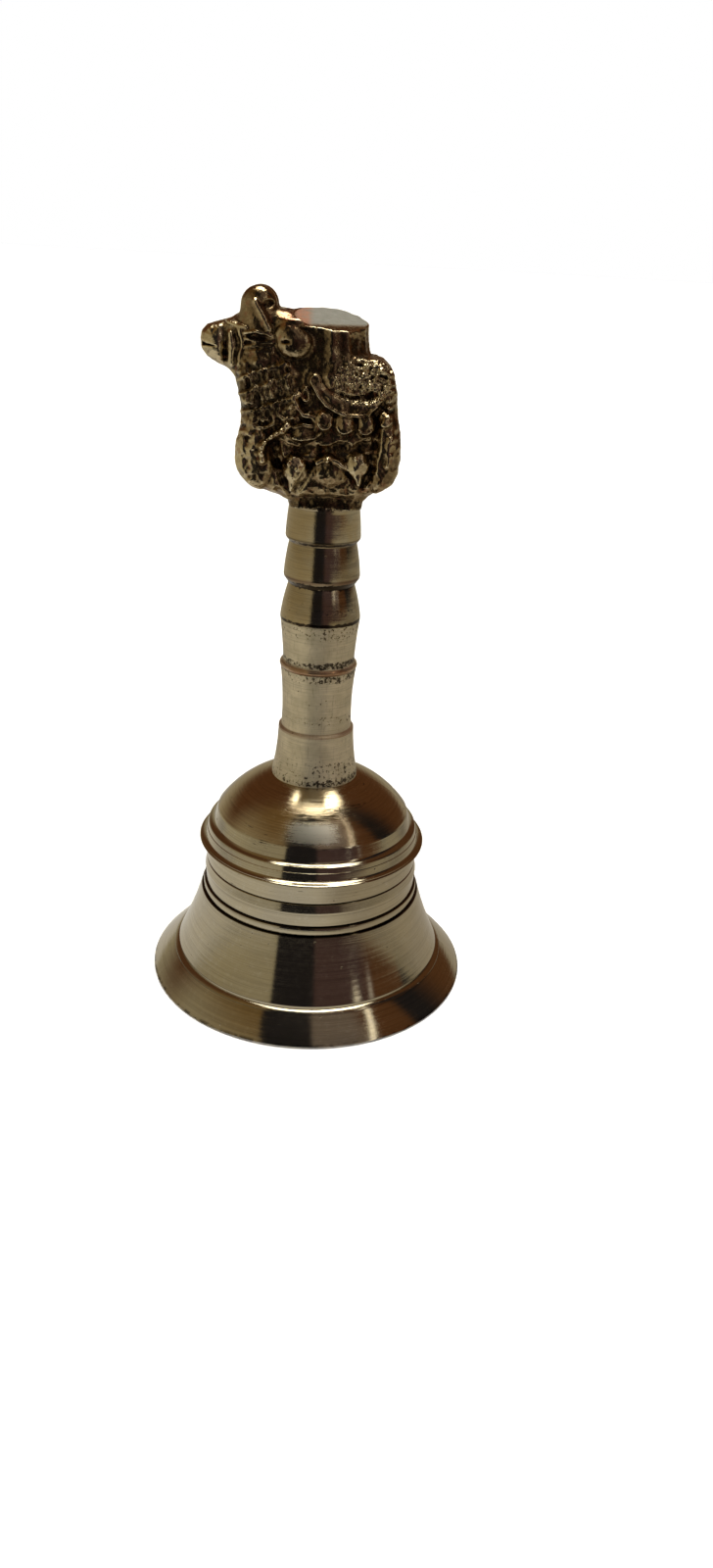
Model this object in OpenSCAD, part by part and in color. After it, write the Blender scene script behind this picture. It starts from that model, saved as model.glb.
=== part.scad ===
// Brass puja hand bell: a turned cup, a cast handle topped by a seated bull, and a clapper that
// hangs from a wire link. Z is the bell's axis, the lip stands on z = 0, and the bull faces -X.

/* [Cup] */
// Diameter over the lip
lip_d = 70; // [66:0.5:74]
// Height of the crown, where the handle stands
cup_h = 47; // [46:0.5:49]
// Wall thickness at the waist
wall = 2.8; // [2.2:0.1:3.2]

/* [Handle] */
// Height of the turned grip, from the crown to the bull's plinth
grip_h = 57.5; // [54:0.5:64]
// Diameter of the grip at its widest ring
grip_d = 16.2; // [15:0.2:18]
// Diameter of the screwed stud below the grip
stud_d = 6; // [5.6:0.2:6.4]

/* [Bull] */
// Height of the bull and its plinth
bull_h = 38; // [36:0.5:42]
// Thickness of the bull across its flanks
bull_w = 19; // [17:0.5:21]

/* [Clapper] */
// Diameter of the clapper's bob
bob_d = 13; // [11:0.5:13.5]
// Height of the bob's centre above the lip
bob_z = 10.5; // [9.5:0.5:12]
// Diameter of the clapper's rod
rod_d = 3.4; // [3:0.1:3.8]
// Diameter of the link's wire
wire_d = 1.8; // [1.6:0.1:1.9]

/* [Hidden] */
$fn = 96;
tiny = 0.01;
hull_fn = 32;
turned_brass = [0.72, 0.62, 0.42];
cast_brass = [0.50, 0.40, 0.24];
steel = [0.55, 0.55, 0.56];

// Cup: radii follow the lip and heights follow the crown.
lip_r = lip_d / 2;
kr = lip_r / 35;
kz = cup_h / 47;
lip_edge = 0.5;
rest_width = 2.2;
ledge = [30.3 * kr, 5.15 * kz];
flare_foot = [29.3 * kr, 6.45 * kz];
foot_wall = 0.7;
flare_top = [24.2 * kr, 20.1 * kz];
ridge_r = 23.7 * kr;
waist_low = [23.2 * kr, 21.9 * kz];
waist_foot = [23.35 * kr, 25.2 * kz];
waist_mid = [22.95 * kr, 27.1 * kz];
waist_high = [22.8 * kr, 31.8 * kz];
flange = [24.5 * kr, 32.3 * kz];
flange_out = 0.3;
cove_two = [23.3 * kr, 32.9 * kz];
mid_two = [22.95 * kr, 34.3 * kz];
step_two = [22.6 * kr, 35.55 * kz];
cove_one = [21.4 * kr, 36.2 * kz];
step_one = [20.65 * kr, 38.8 * kz];
edge_round = 0.25;
seat_r = 9.1;
crown_t = 3.5;
crown_z = cup_h - crown_t;
groove_depth = 0.35;
groove_half = 0.25;

// Fastening, downwards from the crown.
stud_r = stud_d / 2;
stud_gap = 0.1;
washer_r = 6;
washer_t = 1;
nut_z = crown_z - washer_t;
nut_h = 4.5;
nut_flats = 10;

// Hanging, downwards from the nut.
eye_r = 2.6;
eye_hole_r = 1.3;
stud_eye_z = nut_z - nut_h - 2.05;
stud_eye_t = 2.4;
wire_r = wire_d / 2;
rest_gap = 0.08;
swing_z = stud_eye_z - eye_hole_r + wire_r + rest_gap;
link_h = 6;
link_bend_r = 2;
link_half_w = 2.3 + wire_r;
rock_z = swing_z - link_h;
rod_r = rod_d / 2;
rod_eye_t = 2.8;
rod_hole_r = 1.5;
rod_hole_flare = 0.7;
rod_hole_land = 0.2;
rod_eye_z = rock_z + wire_r + rest_gap - rod_hole_r;
bob_r = bob_d / 2;
bob_flat = bob_r * sin(66);
rivet_r = 2.6;
rivet_h = 0.9;

// Grip: radii follow the widest ring, and heights above the crown follow the grip.
gr = grip_d / 16.2;
gz = grip_h / 57.5;
plinth_z = cup_h + grip_h;
bz = bull_h / 38;
by = bull_w / 19;

// Points from p to q on a curve that stands "bow" to the left of the straight line at its middle.
function curve(p, q, bow, n = 8) =
    let (d = q - p, m = (p + q) / 2 + 2 * bow * [-d.y, d.x] / norm(d))
    [for (i = [0:n]) let (t = i / n) (1 - t) * (1 - t) * p + 2 * t * (1 - t) * m + t * t * q];

// A V-shaped turned line in a wall that runs upwards through p.
function turned_line(p) = [p - [0, groove_half], p - [groove_depth, 0], p + [0, groove_half]];

// A half-round ring that stands out by "out" between two heights at radius r.
function ring(r, z0, z1, out) = curve([r, z0], [r, z1], -out, 6);

// A point on the grip, from its radius and its height above the crown at the default size.
function grip(r, z) = [r * gr, cup_h + z * gz];

cup_outside = concat(
    [[lip_r - lip_edge, 0]],
    curve([lip_r, lip_edge], ledge, -0.12),
    curve(ledge + [-0.05, 0.08], flare_foot - [0, foot_wall], -0.05, 4),
    curve(flare_foot, flare_top - [0, groove_half], 0.35, 12),
    [[ridge_r - groove_depth, flare_top.y - 0.1]],
    curve([ridge_r, flare_top.y + 0.05], [ridge_r - 0.1, waist_low.y - groove_half], -0.1, 5),
    [waist_low - [groove_depth, 0]],
    curve(waist_low + [0, groove_half], waist_foot, 0.05, 3),
    turned_line(waist_mid),
    curve(waist_mid + [0, 2 * groove_half], waist_high, 0.05, 4),
    ring(flange.x - flange_out, waist_high.y, flange.y, flange_out),
    curve([flange.x - flange_out, flange.y + edge_round / 2], cove_two, 0.06, 5),
    [mid_two, mid_two + [-0.12, 0.08]],
    curve(step_two - [0, edge_round], step_two - [edge_round, 0], -0.05, 3),
    curve(step_two + [-1.4 * edge_round, edge_round / 4], cove_one, 0.06, 5),
    [step_one - [0, 0.3]],
    curve(step_one - [0.15, 0], [seat_r, cup_h], -1.1, 14)
);

cup_inside = concat(
    [[stud_r + stud_gap, cup_h], [stud_r + stud_gap, crown_z], [8, crown_z]],
    curve([8, crown_z], [step_one.x - wall, step_two.y], 1.6, 10),
    curve([step_one.x - wall, step_two.y], [waist_high.x - wall, waist_high.y - 3], -0.2, 4),
    curve([waist_high.x - wall, waist_high.y - 3], [waist_low.x - wall, waist_low.y], 0, 1),
    curve([waist_low.x - wall, waist_low.y], [flare_foot.x - wall - 0.4, flare_foot.y], -0.35, 12),
    curve([flare_foot.x - wall - 0.4, flare_foot.y], [lip_r - lip_edge - rest_width, 0], 0.1, 6)
);

module bell_cup() {
    color(turned_brass)
    rotate_extrude()
    polygon(concat(cup_outside, cup_inside));
}

grip_outline = concat(
    [[0, cup_h], grip(9.1, 0)],
    curve(grip(9.1, 0.5), grip(7.9, 10.8), 0.25),
    curve(grip(7.35, 11.1), grip(7.8, 24), 0.3, 10),
    ring(7.7 * gr, cup_h + 24 * gz, cup_h + 25.2 * gz, 0.3 * gr),
    curve(grip(7.3, 25.4), grip(8.1, 34.3), 0.1),
    curve(grip(8.1, 34.9), grip(6.65, 41.4), -0.15),
    [grip(7.55, 42.7)],
    curve(grip(7.65, 43.2), grip(6.7, 49.7), -0.12),
    [grip(7.4, 50.6)],
    curve(grip(7.45, 51), grip(6.95, 56.6), -0.05),
    [grip(7.2, 57.5), grip(7.4, 59.5), [0, plinth_z + 2]]
);

// The stud's flattened end, drilled for the link.
module stud_eye() {
    difference() {
        union() {
            translate([-eye_r, -stud_eye_t / 2, stud_eye_z])
                cube([2 * eye_r, stud_eye_t, nut_z - nut_h - stud_eye_z + tiny]);
            translate([0, stud_eye_t / 2, stud_eye_z])
                rotate([90, 0, 0])
                cylinder(r = eye_r, h = stud_eye_t);
        }
        translate([0, stud_eye_t, stud_eye_z])
            rotate([90, 0, 0])
            cylinder(r = eye_hole_r, h = 2 * stud_eye_t);
    }
}

// A flat oval of the bull: centre x, half length, half width, and height above the plinth's foot.
module oval(x, half_l, half_w, z) {
    translate([x, 0, plinth_z + z * bz])
        scale([half_l, half_w * by, 1])
        cylinder(r = 1, h = tiny, $fn = hull_fn);
}

// A ball of the bull, at x, y and a height above the plinth's foot.
module ball(x, y, z, r) {
    translate([x, y * by, plinth_z + z * bz])
        sphere(r = r, $fn = hull_fn);
}

module plinth() {
    hull() {
        oval(0, 7.4, 7, 1.2);
        oval(-0.8, 11, 8.4, 2.6);
        oval(-1.5, 14.3, 9.2, 4.8);
        oval(-1.8, 15.6, 9.5, 7.6);
        oval(-1.8, 15.7, 9.5, 10);
        oval(-1.8, 15.2, 9.4, 12);
    }
}

module trunk() {
    hull() {
        oval(-1.7, 15.2, 9.4, 12);
        oval(-1.6, 15, 9.2, 18);
        oval(-1.9, 14.4, 8.6, 23);
        ball(7.5, 0, 22.3, 4.6);
        ball(-8, 0, 20, 7);
    }
}

module neck() {
    hull() {
        ball(-10.6, 0, 16, 6.2);
        ball(-12.2, 0, 28, 5);
        ball(-6, 0, 27, 6);
    }
}

module head() {
    hull() {
        ball(-11.5, 0, 28.4, 5.2);
        ball(-20.4, 0, 28.1, 3.4);
    }
}

module horn(side) {
    translate([-12.9, side * 3.2 * by, plinth_z + 30 * bz])
        cylinder(r1 = 4, r2 = 3, h = 5.1 * bz);
    ball(-12.9, side * 3.2, 35, 3);
}

module ear(side) {
    hull() {
        ball(-7.5, side * 5.5, 29.6, 2);
        ball(-6.2, side * 7.2, 28.6, 2.6);
    }
}

// The stub on the bull's back, ground off at a slant.
module ground_stub() {
    difference() {
        translate([-1, 0, plinth_z + 18 * bz])
            cylinder(r1 = 8.2, r2 = 6.9, h = 17 * bz);
        translate([-1, 0, plinth_z + 32.8 * bz])
            rotate([-10, 6, 0])
            translate([-15, -15, 0])
            cube(30);
    }
}

module bull() {
    plinth();
    trunk();
    neck();
    head();
    for (side = [-1, 1]) {
        horn(side);
        ear(side);
    }
    ground_stub();
}

module nandi_handle() {
    color(cast_brass) {
        rotate_extrude()
            polygon(grip_outline);
        translate([0, 0, nut_z - nut_h])
            cylinder(r = stud_r, h = cup_h + tiny - nut_z + nut_h);
        stud_eye();
        bull();
    }
}

module crown_washer() {
    color(steel)
    translate([0, 0, nut_z])
    difference() {
        cylinder(r = washer_r, h = washer_t);
        translate([0, 0, -1])
            cylinder(r = stud_r + stud_gap, h = washer_t + 2);
    }
}

// A hexagon nut with its corners turned off.
module crown_nut() {
    corner_r = nut_flats / 2 / cos(30);
    color(steel)
    translate([0, 0, nut_z - nut_h])
    difference() {
        intersection() {
            cylinder(r = corner_r, h = nut_h, $fn = 6);
            union() {
                cylinder(r1 = nut_flats / 2, r2 = nut_flats / 2 + 2, h = 2);
                translate([0, 0, 2])
                    cylinder(r = nut_flats / 2 + 2, h = nut_h);
            }
        }
        translate([0, 0, -1])
            cylinder(r = stud_r, h = nut_h + 2);
    }
}

// One quarter of the link: half a bar, a bend and half a leg, in the +Y +Z quarter.
module link_quarter() {
    bar = link_half_w - link_bend_r;
    leg = link_h / 2 - link_bend_r;
    translate([0, -tiny, link_h / 2])
        rotate([-90, 0, 0])
        cylinder(r = wire_r, h = bar + tiny);
    translate([0, bar, leg])
        rotate([0, -90, 0])
        rotate_extrude(angle = 90)
        translate([link_bend_r, 0])
        circle(r = wire_r);
    translate([0, link_half_w, -tiny])
        cylinder(r = wire_r, h = leg + tiny);
}

module hanger_link() {
    color(steel)
    translate([0, 0, swing_z - link_h / 2])
        for (flip_y = [0, 1], flip_z = [0, 1])
            mirror([0, flip_y, 0])
            mirror([0, 0, flip_z])
            link_quarter();
}

// The rod's flat eye, with a hole that widens towards both faces so that the clapper can rock.
module rod_eye() {
    translate([0, 0, rod_eye_z])
    rotate([90, 0, 0])
    difference() {
        translate([0, 0, -rod_eye_t / 2])
            cylinder(r = eye_r + 0.4, h = rod_eye_t);
        translate([0, 0, -rod_eye_t])
            cylinder(r = rod_hole_r, h = 2 * rod_eye_t);
        for (side = [0, 1])
            mirror([0, 0, side])
            translate([0, 0, rod_hole_land])
            cylinder(r1 = rod_hole_r, r2 = rod_hole_r + rod_hole_flare,
                     h = rod_eye_t / 2 - rod_hole_land + tiny);
    }
}

module clapper_rod() {
    rivet_z = bob_z - bob_flat - rivet_h;
    neck_z = rod_eye_z - rod_hole_r - 0.4;
    color(turned_brass) {
        rod_eye();
        translate([0, 0, bob_z - bob_flat])
            cylinder(r = rod_r, h = neck_z - bob_z + bob_flat);
        translate([0, 0, neck_z - 2.5])
            cylinder(r1 = rod_r, r2 = 2, h = 2.5);
        translate([0, 0, rivet_z])
            cylinder(r1 = rivet_r - 0.8, r2 = rivet_r, h = rivet_h);
    }
}

module clapper_bob() {
    color(turned_brass)
    translate([0, 0, bob_z])
    rotate_extrude()
    polygon(concat(
        [[rod_r, -bob_flat]],
        [for (a = [-66:6:66]) bob_r * [cos(a), sin(a)]],
        [[rod_r, bob_flat]]
    ));
}

bell_cup();
nandi_handle();
crown_washer();
crown_nut();
hanger_link();
clapper_rod();
clapper_bob();
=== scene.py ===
"""A brass puja hand bell with a seated bull as its finial: the looks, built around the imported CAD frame.

The cup, the fastening and the clapper are the CAD nodes themselves with brass and steel materials. The
handle is one casting, so it is one piece here too: the CAD handle's turned grip, joined to a bull that is
modelled as a signed distance field, in millimetres, and meshed by surface nets.
"""
import math
from functools import partialmethod

import bmesh
import bpy
import numpy as np
from mathutils import Matrix, Vector


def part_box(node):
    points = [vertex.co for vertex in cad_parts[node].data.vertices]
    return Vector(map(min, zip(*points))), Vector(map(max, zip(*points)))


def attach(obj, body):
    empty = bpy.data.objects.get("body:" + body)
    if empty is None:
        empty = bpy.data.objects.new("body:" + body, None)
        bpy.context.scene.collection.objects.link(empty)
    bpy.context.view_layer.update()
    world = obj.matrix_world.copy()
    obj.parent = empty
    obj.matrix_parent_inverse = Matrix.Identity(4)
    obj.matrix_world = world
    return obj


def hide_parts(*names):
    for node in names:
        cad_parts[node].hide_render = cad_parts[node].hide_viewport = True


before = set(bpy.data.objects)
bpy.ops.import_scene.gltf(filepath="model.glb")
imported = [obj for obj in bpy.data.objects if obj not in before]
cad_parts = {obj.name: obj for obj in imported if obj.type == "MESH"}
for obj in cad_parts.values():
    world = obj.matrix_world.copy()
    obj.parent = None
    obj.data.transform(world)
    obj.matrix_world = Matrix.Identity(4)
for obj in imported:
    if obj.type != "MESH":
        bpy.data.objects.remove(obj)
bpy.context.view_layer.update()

MM = 0.001

# Heights in millimetres, from the frame: the crown of the cup, and the foot of the bull's plinth.
bull_height = 38.0
crown_z = (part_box("bell_cup")[1] / MM).z
foot_z = (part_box("nandi_handle")[1] / MM).z - bull_height


# -------- camera

def make_camera():
    """The photograph's viewpoint: a phone held in front of the bell and a little above it."""
    distance, height, focal_length = 222.8, 147.2, 26.0
    pitch, yaw, roll = math.radians(24.8), math.radians(-2.38), math.radians(3.2)
    data = bpy.data.cameras.new("camera")
    data.lens = focal_length
    data.sensor_width = 36
    data.clip_start = 0.01
    camera = bpy.data.objects.new("camera", data)
    bpy.context.scene.collection.objects.link(camera)
    aim = Matrix.Rotation(yaw, 4, "Z") @ Matrix.Rotation(math.pi / 2 - pitch, 4, "X")
    place = Matrix.Translation(Vector((0, -distance, height)) * MM)
    camera.matrix_world = place @ aim @ Matrix.Rotation(roll, 4, "Z")
    bpy.context.scene.camera = camera


# -------- signed distance fields

def smooth_max(a, b, k):
    """The larger of two fields, with the edge between them rounded over about k."""
    h = np.clip(0.5 + 0.5 * (a - b) / k, 0, 1)
    return b + (a - b) * h + k * h * (1 - h)


def smooth_min(a, b, k):
    """The union of two fields, with a fillet of about k."""
    return -smooth_max(-a, -b, k)


def smooth_step(x, low, high):
    t = np.clip((x - low) / (high - low), 0, 1)
    return t * t * (3 - 2 * t)


def segment_distance(u, v, a, b):
    """Distance in a plane from (u, v) to the segment a-b, and how far along it, from 0 to 1, that is."""
    du, dv = b[0] - a[0], b[1] - a[1]
    t = np.clip(((u - a[0]) * du + (v - a[1]) * dv) / (du * du + dv * dv), 0, 1)
    return np.hypot(u - a[0] - t * du, v - a[1] - t * dv), t


def outline_distance(u, v, points):
    """Signed distance to a closed outline, negative inside."""
    distance = np.full(np.broadcast(u, v).shape, 1e9)
    inside = np.zeros(distance.shape, bool)
    for a, b in zip(points, points[1:] + points[:1]):
        distance = np.minimum(distance, segment_distance(u, v, a, b)[0])
        crosses = (a[1] > v) != (b[1] > v)
        if a[1] != b[1]:
            inside ^= crosses & (u < a[0] + (v - a[1]) / (b[1] - a[1]) * (b[0] - a[0]))
    return np.where(inside, -distance, distance)


def ellipsoid(x, y, z, centre, radii):
    """A close stand-in for the distance to an ellipsoid."""
    p = [(c - m) / r for c, m, r in zip((x, y, z), centre, radii)]
    k = np.sqrt(p[0] ** 2 + p[1] ** 2 + p[2] ** 2)
    return (k - 1) * min(radii)


def surface_nets(field, origin, step):
    """Meshes a field's zero surface: a vertex for each crossed grid cell, a quad for each crossed edge."""
    inside = field < 0
    shape = np.array(field.shape) - 1
    corners = [(i, j, k) for i in (0, 1) for j in (0, 1) for k in (0, 1)]
    count = 0
    for i, j, k in corners:
        count = count + inside[i:shape[0] + i, j:shape[1] + j, k:shape[2] + k].astype(np.int8)
    active = (count > 0) & (count < 8)
    cell = np.argwhere(active)
    index = np.full(active.shape, -1, np.int64)
    index[active] = np.arange(len(cell))
    total = np.zeros((len(cell), 3))
    hits = np.zeros(len(cell))
    for corner in corners:
        for axis in range(3):
            if corner[axis]:
                continue
            far = np.array(corner)
            far[axis] = 1
            va = field[tuple((cell + corner).T)]
            vb = field[tuple((cell + far).T)]
            crossed = (va < 0) != (vb < 0)
            t = va[crossed] / (va[crossed] - vb[crossed])
            point = np.tile(np.array(corner, float), (crossed.sum(), 1))
            point[:, axis] = t
            total[crossed] += point
            hits[crossed] += 1
    vertices = origin + step * (cell + total / hits[:, None])
    quads = []
    for axis in range(3):
        u, v = (axis + 1) % 3, (axis + 2) % 3
        low = [slice(None)] * 3
        high = [slice(None)] * 3
        low[axis] = slice(0, -1)
        high[axis] = slice(1, None)
        starts_inside = inside[tuple(low)]
        edge = np.argwhere(starts_inside != inside[tuple(high)])
        fits = (edge[:, u] > 0) & (edge[:, v] > 0) & (edge[:, u] < shape[u]) & (edge[:, v] < shape[v])
        edge = edge[fits]
        ring = []
        for back_u, back_v in ((0, 0), (1, 0), (1, 1), (0, 1)):
            corner = edge.copy()
            corner[:, u] -= back_u
            corner[:, v] -= back_v
            ring.append(index[tuple(corner.T)])
        quad = np.stack(ring, 1)
        outward = starts_inside[tuple(edge.T)]
        quad[~outward] = quad[~outward][:, ::-1]
        quads.append(quad)
    return vertices, np.concatenate(quads)


def waves(points, spacing, seed, count=24):
    """Smooth isotropic noise, about -1 to 1, from waves that run in random directions."""
    random = np.random.default_rng(seed)
    value = np.zeros(len(points))
    for _ in range(count):
        direction = random.normal(size=points.shape[1])
        direction *= 2 * math.pi / spacing * random.uniform(0.7, 1.4) / np.linalg.norm(direction)
        value += np.sin(points @ direction + random.uniform(0, 2 * math.pi))
    return value / math.sqrt(count)


# -------- the bull's relief
# All in millimetres: x along the bull, which faces -x, and z up from the plinth's foot.

class Relief:
    """Heights over the side view. A mark raises them to its own height, or is cut into them if sunk."""

    def __init__(self, x, z):
        self.x, self.z = x, z
        self.height = np.zeros(np.broadcast(x, z).shape)

    def mark(self, height, sunk):
        self.height = self.height - height if sunk else np.maximum(self.height, height)

    def ridge(self, points, width, height, sunk=False):
        """A rounded ridge along a line. width may be one half width, or one at each point."""
        ends = list(zip(points, width if isinstance(width, list) else [width] * len(points)))
        best = np.zeros(self.height.shape)
        for (a, wa), (b, wb) in zip(ends, ends[1:]):
            distance, t = segment_distance(self.x, self.z, a, b)
            half = wa + (wb - wa) * t
            best = np.maximum(best, np.clip(1 - (distance / half / 1.15) ** 2, 0, 1) ** 0.8 * height)
        self.mark(best, sunk)

    def dome(self, centre, half_l, half_h, height, tilt=0.0, sunk=False):
        """A rounded boss with an oval foot."""
        c, s = math.cos(math.radians(tilt)), math.sin(math.radians(tilt))
        u, v = self.x - centre[0], self.z - centre[1]
        foot = ((u * c + v * s) / half_l) ** 2 + ((v * c - u * s) / half_h) ** 2
        self.mark(np.sqrt(np.clip(1 - foot, 0, 1)) * height, sunk)

    def grains(self, low, high, spacing, size, height, seed):
        """Small scattered beads in a box, as on a punched ground."""
        random = np.random.default_rng(seed)
        for gx in np.arange(low[0], high[0], spacing):
            for gz in np.arange(low[1], high[1], spacing):
                centre = np.array((gx, gz)) + random.uniform(-0.4, 0.4, 2) * spacing
                radius = size * random.uniform(0.7, 1.2)
                self.dome(centre, radius, radius, height * random.uniform(0.5, 1))

    def ring(self, centre, radius, half, height, stretch=1.0, below=math.inf):
        """A rounded ring, of which only the part below a level is kept."""
        off = np.abs(np.hypot((self.x - centre[0]) * stretch, self.z - centre[1]) - radius)
        self.mark(np.sqrt(np.clip(1 - (off / half) ** 2, 0, 1)) * height * (self.z < below), sunk=False)


def softened(height, step, reach):
    """Rounds off a map of heights, as casting and wear do. reach is in millimetres."""
    for _ in range(round(2 * (reach / step) ** 2)):
        for axis in (0, 1):
            height = (np.roll(height, 1, axis) + 2 * height + np.roll(height, -1, axis)) / 4
    return height


def add_saddle(side):
    """The saddle cloth on the back, its padded hem, and the bells that hang below it."""
    cloth = [
        (-2, 23), (-0.5, 20.6), (2, 18.8), (5, 18.2), (8.5, 18.4), (11, 19.4), (13.5, 21), (13, 25),
        (10, 28), (3, 28),
    ]
    inside = smooth_step(-outline_distance(side.x, side.z, cloth), -0.3, 0.6)
    side.grains((-2, 18), (14, 29), 0.9, 0.55, 1.0, 3)
    side.grains((-2, 18), (14, 29), 0.62, 0.36, 0.8, 4)
    side.height = inside * (0.1 + side.height)
    pad = [
        (-2.6, 22.4), (-1.6, 20.9), (0.0, 19.5), (1.9, 18.6), (3.9, 18.2), (5.8, 18.2), (7.6, 18.6),
        (9.2, 19.7),
    ]
    hem = [
        (-2.9, 21.9), (-1.9, 20.2), (-0.3, 18.7), (1.7, 17.6), (3.7, 17.1), (5.8, 17.1), (7.2, 17.4),
        (8.9, 18.7),
    ]
    seam = [(-1.4, 23.0), (-0.4, 21.6), (1.0, 20.6), (2.8, 20.0), (4.6, 19.8), (6.6, 20.0), (8.4, 20.8)]
    side.ridge(seam, 0.55, 1.0, sunk=True)
    side.height = np.maximum(side.height, 0)
    side.ridge(pad, [0.8, 1.1, 1.3, 1.4, 1.4, 1.3, 1.1, 0.6], 1.3)
    side.ridge(hem, [0.35, 0.45, 0.5, 0.55, 0.55, 0.5, 0.45, 0.35], 1.7)
    side.ring((-2.6, 22.7), 0.75, 0.4, 1.1)
    bells = (
        ((-0.6, 16.0), 1.9, 1.5), ((3.1, 15.4), 2.0, 1.8), ((7.1, 15.5), 2.05, 1.8),
        ((10.4, 16.6), 1.3, 1.1),
    )
    for centre, radius, out in bells:
        side.dome(centre, radius, radius, out)
        side.ring(centre, radius * 0.72, 0.32, out + 0.15, below=centre[1] - 0.2 * radius)
    for bump in range(6):
        side.dome((10.9 + 0.25 * bump, 18.6 + 1.35 * bump), 0.62, 0.6, 1.0)


def add_strap(side):
    """The zigzag girth strap, its drop, a leaf and the band of beads round the fore leg."""
    strap = [(-6.4, 19.8), (-5.4, 18.2), (-4.5, 16.8), (-2.9, 16.5), (-2.1, 15.5), (-2.3, 14.4)]
    beads = [
        (-11.8, 8.6), (-11.9, 9.7), (-11.7, 10.8), (-11.1, 11.8), (-10.2, 12.6), (-9.2, 13.2), (-8.2, 13.9),
        (-7.3, 14.8),
    ]
    side.ridge(strap, 0.55, 1.0)
    side.ring((-4.1, 20.2), 1.0, 0.42, 0.85, 1.8)
    side.dome((-3.9, 13.7), 2.7, 1.2, 1.0, 6)
    side.ridge([(-6.4, 12.9), (-4.6, 12.5), (-2.4, 12.9), (-1.2, 13.8)], 0.4, 1.25)
    side.ridge([(-6.3, 14.4), (-4.4, 15.1), (-2.4, 14.9)], 0.3, 0.95)
    side.ridge(beads, 0.7, 0.9)
    side.dome((-7.4, 17.3), 1.2, 1.2, 0.95)
    side.dome((-6.9, 18.1), 0.55, 0.55, 1.45)
    side.ridge([(-8.9, 18.4), (-9.0, 16.6), (-7.9, 15.8), (-6.4, 16.2)], 0.4, 1.0)
    for centre in beads:
        side.dome(centre, 0.74, 0.74, 1.75)


def add_necklace(side):
    """Bands of a bell necklace that cross the neck, with small cells between them."""
    rows = (
        ([(-15.6, 16.6), (-12.6, 17.2), (-10.0, 18.2), (-7.6, 19.2), (-5.4, 20.2)], 0.55, 0.95),
        ([(-16.2, 19.6), (-13.0, 20.8), (-10.0, 22.1), (-7.0, 23.6)], 0.55, 0.95),
        ([(-16.6, 22.0), (-13.6, 23.3), (-10.4, 24.4), (-7.8, 25.2)], 0.45, 0.7),
        ([(-13.6, 16.9), (-13.4, 14.6), (-11.4, 14.1), (-9.8, 14.9), (-9.8, 16.8)], 0.42, 0.9),
        ([(-12.2, 16.2), (-11.0, 15.6)], 0.5, 0.8),
    )
    random = np.random.default_rng(6)
    for row, half, out in rows:
        side.ridge(row, half, out)
    for row, _, out in rows[:3]:
        for (ax, az), (bx, bz) in zip(row, row[1:]):
            for share in (0.12, 0.45, 0.78):
                px, pz = ax + (bx - ax) * share, az + (bz - az) * share
                tip = (px + random.uniform(-0.2, 0.8), pz - random.uniform(1.5, 2.1))
                side.ridge([(px, pz), tip], [0.3, 0.55], out * random.uniform(0.55, 0.95))
    side.grains((-16.5, 13), (-5.5, 25), 1.15, 0.6, 0.5, 5)


def add_legs(side):
    """The folded legs: two knees with hooves below them, the belly between, the chest and the rump."""
    # Chest, rump, fore knee, hind knee and belly: centre, half length, half height and height.
    masses = (
        ((-13.9, 8.2), 3.9, 6.4, 1.1), ((11.4, 9.4), 3.3, 8.2, 1.5), ((-5.8, 7.0), 2.5, 2.6, 2.1),
        ((5.9, 8.5), 2.3, 2.3, 2.1), ((0.9, 7.0), 2.9, 2.7, 1.2),
    )
    for mass in masses:
        side.dome(*mass)
    fore_hoof, hind_hoof = [(-5.9, 6.8), (-6.3, 3.6)], [(5.9, 8.3), (6.2, 4.9)]
    side.ridge(fore_hoof, [1.9, 0.6], 1.5)
    side.ridge(hind_hoof, [1.7, 0.5], 1.5)
    belly_fold = [(-1.6, 8.6), (0.2, 9.4), (2.6, 8.9), (3.7, 7.9)]
    side.ridge(belly_fold, 0.6, 1.7)
    knobs = (
        ((-7.0, 8.3), 0.6), ((-5.2, 7.6), 0.8), ((-6.1, 5.9), 0.55), ((5.3, 9.6), 0.8), ((6.7, 9.0), 0.6),
        ((0.2, 8.9), 0.6),
    )
    for centre, radius in knobs:
        side.dome(centre, radius, radius, 2.5)
    under_saddle = [(-8.6, 11.3), (-5.5, 10.2), (-3, 11.1), (-1, 10.4), (2.5, 11.6), (4.5, 11.2), (8.2, 12)]
    creases = (
        ([(-14.7, 12), (-14.9, 9), (-14.2, 5.4)], 0.6, 0.3),
        ([(-9.2, 8.3), (-8.2, 5.4), (-6.8, 3.0)], 0.7, 0.7),
        ([(-3.0, 8.0), (-4.2, 5.4), (-5.6, 3.2)], 0.6, 0.55),
        ([(3.6, 7.4), (4.6, 5.8), (5.6, 4.4)], 0.5, 0.5),
        ([(8.5, 8.2), (7.8, 6.3), (6.8, 4.5)], 0.6, 0.65),
        ([(8.9, 16.5), (9.0, 12), (8.6, 8)], 0.7, 0.8),
        ([(-9.9, 11.2), (-9.2, 9.4), (-8.6, 8.0)], 1.1, 1.1),
        (under_saddle, 0.9, 0.8),
    )
    for crease in creases:
        side.ridge(*crease, sunk=True)


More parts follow.
